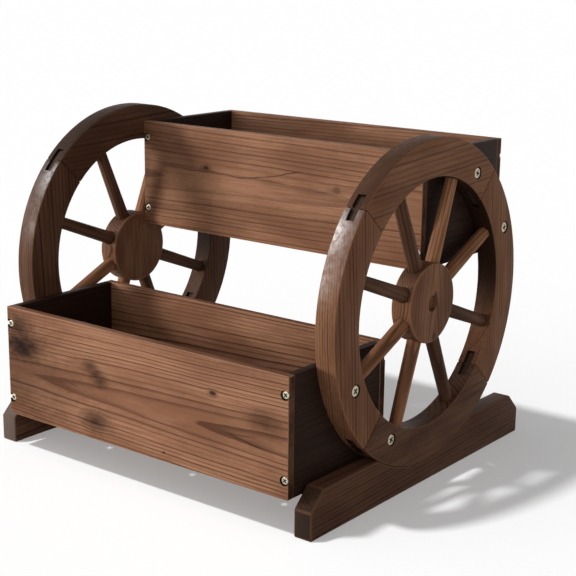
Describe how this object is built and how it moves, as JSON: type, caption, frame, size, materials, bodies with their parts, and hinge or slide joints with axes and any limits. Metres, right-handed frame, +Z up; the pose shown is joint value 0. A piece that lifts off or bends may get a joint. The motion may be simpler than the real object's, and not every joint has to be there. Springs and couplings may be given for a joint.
{
  "type": "two-tier flower cart stand",
  "caption": "Free-standing wooden stand with a low front box and a higher rear box for plants, carried between spoked wagon wheels that are seated in feet.",
  "frame": {"origin": "on the ground, in the middle of the stand's width and depth", "axes": "+X to the right along the wheels' axle line, +Y from the front of the stand to its back, +Z up"},
  "size_m": [0.565, 0.522, 0.469],
  "materials": {
    "box_boards": "stained, open grain, satin",
    "box_floors": "stained, matt",
    "rim": "stained, open grain, satin",
    "tongues": "stained end grain, matt",
    "hubs": "stained, open grain, satin",
    "spokes": "turned and stained, satin",
    "feet": "stained, open grain, satin",
    "screws": "zinc plated, dull"
  },
  "bodies": {
    "root": {"foot_screws": "screws", "left_foot": "feet", "left_wheel_bottom_felloe": "rim", "left_wheel_bottom_front_tongue": "tongues", "left_wheel_bottom_rear_tongue": "tongues", "left_wheel_front_felloe": "rim", "left_wheel_hub": "hubs", "left_wheel_rear_felloe": "rim", "left_wheel_screws": "screws", "left_wheel_spoke_1": "spokes", "left_wheel_spoke_2": "spokes", "left_wheel_spoke_3": "spokes", "left_wheel_spoke_4": "spokes", "left_wheel_spoke_5": "spokes", "left_wheel_spoke_6": "spokes", "left_wheel_spoke_7": "spokes", "left_wheel_spoke_8": "spokes", "left_wheel_top_felloe": "rim", "left_wheel_top_front_tongue": "tongues", "left_wheel_top_rear_tongue": "tongues", "lower_back_board": "box_boards", "lower_box_screws": "screws", "lower_front_board": "box_boards", "lower_front_floor_board": "box_floors", "lower_left_cleat": "box_floors", "lower_left_side_board": "box_boards", "lower_rear_floor_board": "box_floors", "lower_right_cleat": "box_floors", "lower_right_side_board": "box_boards", "right_foot": "feet", "right_wheel_bottom_felloe": "rim", "right_wheel_bottom_front_tongue": "tongues", "right_wheel_bottom_rear_tongue": "tongues", "right_wheel_front_felloe": "rim", "right_wheel_hub": "hubs", "right_wheel_rear_felloe": "rim", "right_wheel_screws": "screws", "right_wheel_spoke_1": "spokes", "right_wheel_spoke_2": "spokes", "right_wheel_spoke_3": "spokes", "right_wheel_spoke_4": "spokes", "right_wheel_spoke_5": "spokes", "right_wheel_spoke_6": "spokes", "right_wheel_spoke_7": "spokes", "right_wheel_spoke_8": "spokes", "right_wheel_top_felloe": "rim", "right_wheel_top_front_tongue": "tongues", "right_wheel_top_rear_tongue": "tongues", "upper_back_board": "box_boards", "upper_box_screws": "screws", "upper_front_board": "box_boards", "upper_front_floor_board": "box_floors", "upper_left_cleat": "box_floors", "upper_left_side_board": "box_boards", "upper_rear_floor_board": "box_floors", "upper_right_cleat": "box_floors", "upper_right_side_board": "box_boards"}
  },
  "joints": []
}
